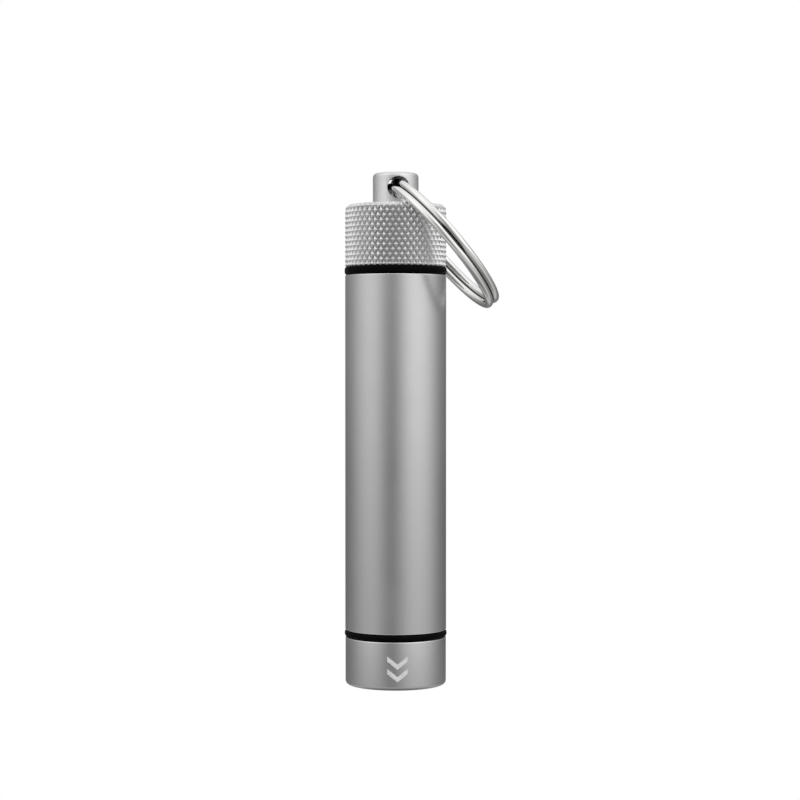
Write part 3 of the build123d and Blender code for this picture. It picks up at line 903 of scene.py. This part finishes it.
def mark_groove_shade_hole_dark(ring, centre, down, beside, axis):
    """Stores how dark each vertex is painted: darker inside the post's hole, and painted shade in the groove
    between the turns.
    """
    attribute = ring.data.attributes.new("groove_shade_hole_dark", "FLOAT", "POINT")
    values = []
    for vertex in ring.data.vertices:
        outward = vertex.co - centre
        from_hole = pi - down.angle(outward)
        in_hole = min(1.0, max(0.0, (HOLE_DARK_END - from_hole) / HOLE_DARK_FADE))
        angle = atan2(outward.dot(beside), outward.dot(down))
        in_jog = JOG_START - JOG_MARGIN < angle < JOG_START + JOG_SPREAD + JOG_MARGIN
        # The patch widens and darkens the painted shade in the groove.
        patch = min(1.0, max(0.0, 2 - 2 * abs(angle - PATCH_ANGLE) / PATCH_SPREAD))
        half_width = GROOVE_HALF_WIDTH + PATCH_EXTRA_WIDTH * patch
        depth = min(1.0, max(0.0, (half_width - abs(outward.dot(axis))) / GROOVE_FADE))
        in_groove = 0.0 if in_jog else depth * (GROOVE_SHADE + PATCH_EXTRA_SHADE * patch)
        values.append(max(in_hole, in_groove))
    attribute.data.foreach_set("value", values)


# ======== Inside ========

def make_spring():
    """Conical spring with a closed turn at each end."""
    low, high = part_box("tail_spring")
    bottom = low.z + SPRING_WIRE_R + SPRING_PLAY
    top = high.z - SPRING_WIRE_R - SPRING_PLAY
    closed_turn = 1 / SPRING_TURNS
    dead_rise = SPRING_DEAD_RISE
    steps = 360

    def point(share):
        angle = share * SPRING_TURNS * tau
        live = min(1.0, max(0.0, (share - closed_turn) / (1 - 2 * closed_turn)))
        rise = (top - bottom - dead_rise) * live
        rise += dead_rise * min(1.0, share / closed_turn) * 0.5
        rise += dead_rise * min(1.0, max(0.0, (share - 1 + closed_turn) / closed_turn)) * 0.5
        widening = live * SPRING_LIVE_WIDENING + share * (1 - SPRING_LIVE_WIDENING)
        radius = SPRING_TIP_R + (SPRING_TOP_R - SPRING_TIP_R) * widening
        return Vector((radius * cos(angle), radius * sin(angle), bottom + rise))

    centres = []
    across = []
    along = []
    for i in range(steps + 1):
        share = i / steps
        here = point(share)
        ahead = (point(share + NUDGE) - point(share - NUDGE)).normalized()
        outward = Vector((here.x, here.y, 0)).normalized()
        up = ahead.cross(outward).normalized()
        centres.append(here)
        across.append(up.cross(ahead).normalized())
        along.append(up)
    turns = [k * tau / SPRING_SIDES for k in range(SPRING_SIDES)]
    section = [(SPRING_WIRE_R * cos(turn), SPRING_WIRE_R * sin(turn)) for turn in turns]
    spring = sweep_tube("contact_spring", centres, across, along, section, [MATERIALS["nickel_plate"]])
    return place(spring, "tail", "nickel_plate", "tail_spring")


def make_lens():
    """Flat disc of glass with softened edges."""
    rows = rounded([
        (0, LENS_BOTTOM, 0, 0),
        (INSERT_R, LENS_BOTTOM, LENS_EDGE, 0),
        (INSERT_R, LENS_TOP, LENS_EDGE, 0),
        (0, LENS_TOP, 0, 0),
    ])
    glass = lathe("lens_glass", rows, [MATERIALS["clear_glass"]])
    return place(glass, "head", "clear_glass", "lens")


def make_reflector():
    """Smooth parabolic cup, its focus at the LED's die."""
    low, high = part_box("reflector")
    vertex = REFLECTOR_MOUTH_R**2 / (4 * FOCAL_LENGTH) + low.z
    steps = 24
    rows = []
    for i in range(steps + 1):
        z = low.z + (high.z - low.z) * i / steps
        rows.append((sqrt(4 * FOCAL_LENGTH * (vertex - z)), z, 0))
    rows += rounded([
        (REFLECTOR_BACK_R, high.z, 0, 0),
        (INSERT_R - FINE_EDGE, low.z + REFLECTOR_FLANGE, 0, 0),
        (INSERT_R, low.z + REFLECTOR_FLANGE, 0, 0),
        (INSERT_R, low.z, 0, 0),
    ])
    cup = lathe("reflector_cup", rows, [MATERIALS["bright_reflector"]], closed=True)
    return place(cup, "head", "bright_reflector", "reflector")


def rounded_square(side, rounding):
    """Outline of a square with round corners, centred on the axis."""
    points = []
    for quarter in range(4):
        middle = (quarter + 0.5) * pi / 2
        reach = sqrt(2) * (side / 2 - rounding)
        for step in range(ARC_STEPS + 1):
            angle = (quarter + step / ARC_STEPS) * pi / 2
            x = reach * cos(middle) + rounding * cos(angle)
            y = reach * sin(middle) + rounding * sin(angle)
            points.append((x, y))
    return points


def square_plate(name, layers, material):
    """Plate from layers (side, height), all with the same corner count."""
    vertices = []
    for side, height in layers:
        vertices += [(x, y, height) for x, y in rounded_square(side, LED_CORNER * side)]
    size = len(vertices) // len(layers)
    faces = [tuple(range(size)), tuple(range(len(vertices) - size, len(vertices)))]
    for i in range(len(layers) - 1):
        for j in range(size):
            k = (j + 1) % size
            faces.append((i * size + j, i * size + k, (i + 1) * size + k, (i + 1) * size + j))
    return new_object(name, vertices, faces, [material])


def make_led():
    """Ceramic package, its yellow die and the clear dome over it."""
    low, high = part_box("led_base")
    side = high.x - low.x
    layers = [(side - 2 * LED_BEVEL, low.z), (side, low.z + LED_BEVEL), (side, high.z)]
    package = square_plate("led_package", layers, MATERIALS["white_ceramic"])
    place(package, "head", "white_ceramic", "led_base")
    low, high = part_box("led_die")
    side = high.x - low.x
    die = square_plate("led_phosphor", [(side, low.z), (side, high.z)], MATERIALS["yellow_phosphor"])
    place(die, "head", "yellow_phosphor", "led_die")
    low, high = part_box("led_dome")
    radius = high.x
    steps = 24
    rows = []
    for step in range(steps + 1):
        angle = step / steps * pi / 2
        rows.append((radius * sin(angle), high.z - radius * cos(angle), 0))
    rows.append((0, high.z, 0))
    dome = lathe("led_lens", rows, [MATERIALS["clear_silicone"]], columns=SMALL_COLUMNS)
    place(dome, "head", "clear_silicone", "led_dome")


# ======== Stage ========

def make_floor():
    """Evenly lit white floor, clear of the unscrewed head and open from below, where the light shines."""
    bpy.ops.mesh.primitive_circle_add(vertices=128, radius=FLOOR_R, fill_type="NGON")
    floor = bpy.context.object
    floor.name = "floor"
    floor.location.z = FLOOR_Z
    material = bpy.data.materials.new("floor")
    material.use_nodes = True
    nodes = material.node_tree.nodes
    links = material.node_tree.links
    nodes.clear()
    out = nodes.new("ShaderNodeOutputMaterial")
    pale = nodes.new("ShaderNodeEmission")
    side = nodes.new("ShaderNodeNewGeometry")
    clear = nodes.new("ShaderNodeBsdfTransparent")
    mix = nodes.new("ShaderNodeMixShader")
    links.new(side.outputs["Backfacing"], mix.inputs["Fac"])
    links.new(pale.outputs["Emission"], mix.inputs[1])
    links.new(clear.outputs["BSDF"], mix.inputs[2])
    links.new(mix.outputs["Shader"], out.inputs["Surface"])
    floor.data.materials.append(material)
    floor.visible_glossy = False
    floor.visible_diffuse = False


def fill_ramp(ramp, stops):
    """Grey stops of a colour ramp, as (position, level) from 0 to 1."""
    for position, _ in stops[1:-1]:
        ramp.elements.new(position)
    for element, (position, level) in zip(ramp.elements, stops):
        element.position = position
        element.color = (level, level, level, 1)


def make_dome():
    """Studio tent round the object: two broad soft banks of light and a dimmer gap between them."""
    bpy.ops.mesh.primitive_uv_sphere_add(radius=TENT_R, segments=64, ring_count=32)
    dome = bpy.context.object
    dome.location.z = TENT_HEIGHT
    dome.name = "light_tent"
    material = bpy.data.materials.new("light_tent")
    material.use_nodes = True
    nodes = material.node_tree.nodes
    links = material.node_tree.links
    nodes.clear()
    out = nodes.new("ShaderNodeOutputMaterial")
    glow = nodes.new("ShaderNodeEmission")
    where = nodes.new("ShaderNodeTexCoord")
    turn = nodes.new("ShaderNodeMapping")
    turn.inputs["Rotation"].default_value = (0, 0, -CAMERA_AZIMUTH)
    parts = nodes.new("ShaderNodeSeparateXYZ")
    azimuth = nodes.new("ShaderNodeMath")
    azimuth.operation = "ARCTAN2"
    flip = nodes.new("ShaderNodeMath")
    flip.operation = "MULTIPLY"
    flip.inputs[1].default_value = -1
    links.new(where.outputs["Object"], turn.inputs["Vector"])
    links.new(turn.outputs["Vector"], parts.inputs["Vector"])
    links.new(parts.outputs["Y"], flip.inputs[0])
    links.new(parts.outputs["X"], azimuth.inputs[0])
    links.new(flip.outputs["Value"], azimuth.inputs[1])
    banks = nodes.new("ShaderNodeValToRGB")
    banks.color_ramp.interpolation = "B_SPLINE"
    fill_ramp(banks.color_ramp, [((turned + 180) / 360, level) for turned, level in TENT_LEVELS])
    around = spread(nodes, links, azimuth.outputs["Value"], 0, 1, -pi, pi)
    links.new(around, banks.inputs["Fac"])
    upward = spread(nodes, links, parts.outputs["Z"], 0, 1, -TENT_R, TENT_R)
    level = nodes.new("ShaderNodeMath")
    level.operation = "MULTIPLY_ADD"
    links.new(banks.outputs["Color"], level.inputs[0])
    for stops, socket in ((TENT_WALL, level.inputs[1]), (TENT_ENDS, level.inputs[2])):
        height = nodes.new("ShaderNodeValToRGB")
        height.color_ramp.interpolation = "EASE"
        fill_ramp(height.color_ramp, stops)
        links.new(upward, height.inputs["Fac"])
        links.new(height.outputs["Color"], socket)
    links.new(level.outputs["Value"], glow.inputs["Color"])
    glow.inputs["Strength"].default_value = TENT_STRENGTH
    links.new(glow.outputs["Emission"], out.inputs["Surface"])
    dome.data.materials.append(material)
    dome.visible_camera = False
    dome.visible_shadow = False


def make_lights():
    """A wide softbox overhead for rubber, plastic and the mark: metal reflects only the tent."""
    data = bpy.data.lights.new("overhead_softbox", "AREA")
    data.shape = "SQUARE"
    data.size = SOFTBOX_SIDE
    data.energy = SOFTBOX_WATTS
    light = bpy.data.objects.new("overhead_softbox", data)
    light.location.z = SOFTBOX_HEIGHT
    light.visible_camera = False
    light.visible_glossy = False
    bpy.context.scene.collection.objects.link(light)


def make_world():
    """White surroundings that only the camera sees: the tent gives the reflections."""
    world = bpy.data.worlds.new("surroundings")
    bpy.context.scene.world = world
    world.use_nodes = True
    background = world.node_tree.nodes["Background"]
    background.inputs["Color"].default_value = (1, 1, 1, 1)
    background.inputs["Strength"].default_value = 1.0
    world.cycles_visibility.diffuse = False
    world.cycles_visibility.glossy = False
    world.cycles_visibility.transmission = False
    world.cycles_visibility.scatter = False
    bpy.context.scene.view_settings.view_transform = "Standard"


def make_camera():
    """A camera a little above the barrel's middle, which looks slightly down and to the right."""
    data = bpy.data.cameras.new("camera")
    data.lens = LENS_MM
    data.sensor_width = 36
    data.clip_start = 10 * MM
    data.clip_end = 20
    camera = bpy.data.objects.new("camera", data)
    back = Vector((sin(CAMERA_AZIMUTH), -cos(CAMERA_AZIMUTH), 0))
    camera.location = back * CAMERA_DISTANCE + Vector((0, 0, CAMERA_HEIGHT))
    turn = Matrix.Rotation(CAMERA_AZIMUTH - CAMERA_YAW, 3, "Z")
    tilt = Matrix.Rotation(pi / 2 - CAMERA_PITCH, 3, "X")
    camera.rotation_euler = (turn @ tilt).to_euler()
    bpy.context.scene.collection.objects.link(camera)
    bpy.context.scene.camera = camera


# ======== The object ========

make_camera()
make_world()
make_lights()
make_dome()
make_floor()
dress_cad_nodes()
make_tube()
make_seal("head_seal_rubber", "head_seal_ring", "head_seal")
make_seal("tail_seal_rubber", "tail_seal_ring", "tail_seal")
make_head()
make_mark()
make_lens()
make_reflector()
make_led()
make_tail_cap()
make_spring()
make_key_ring()
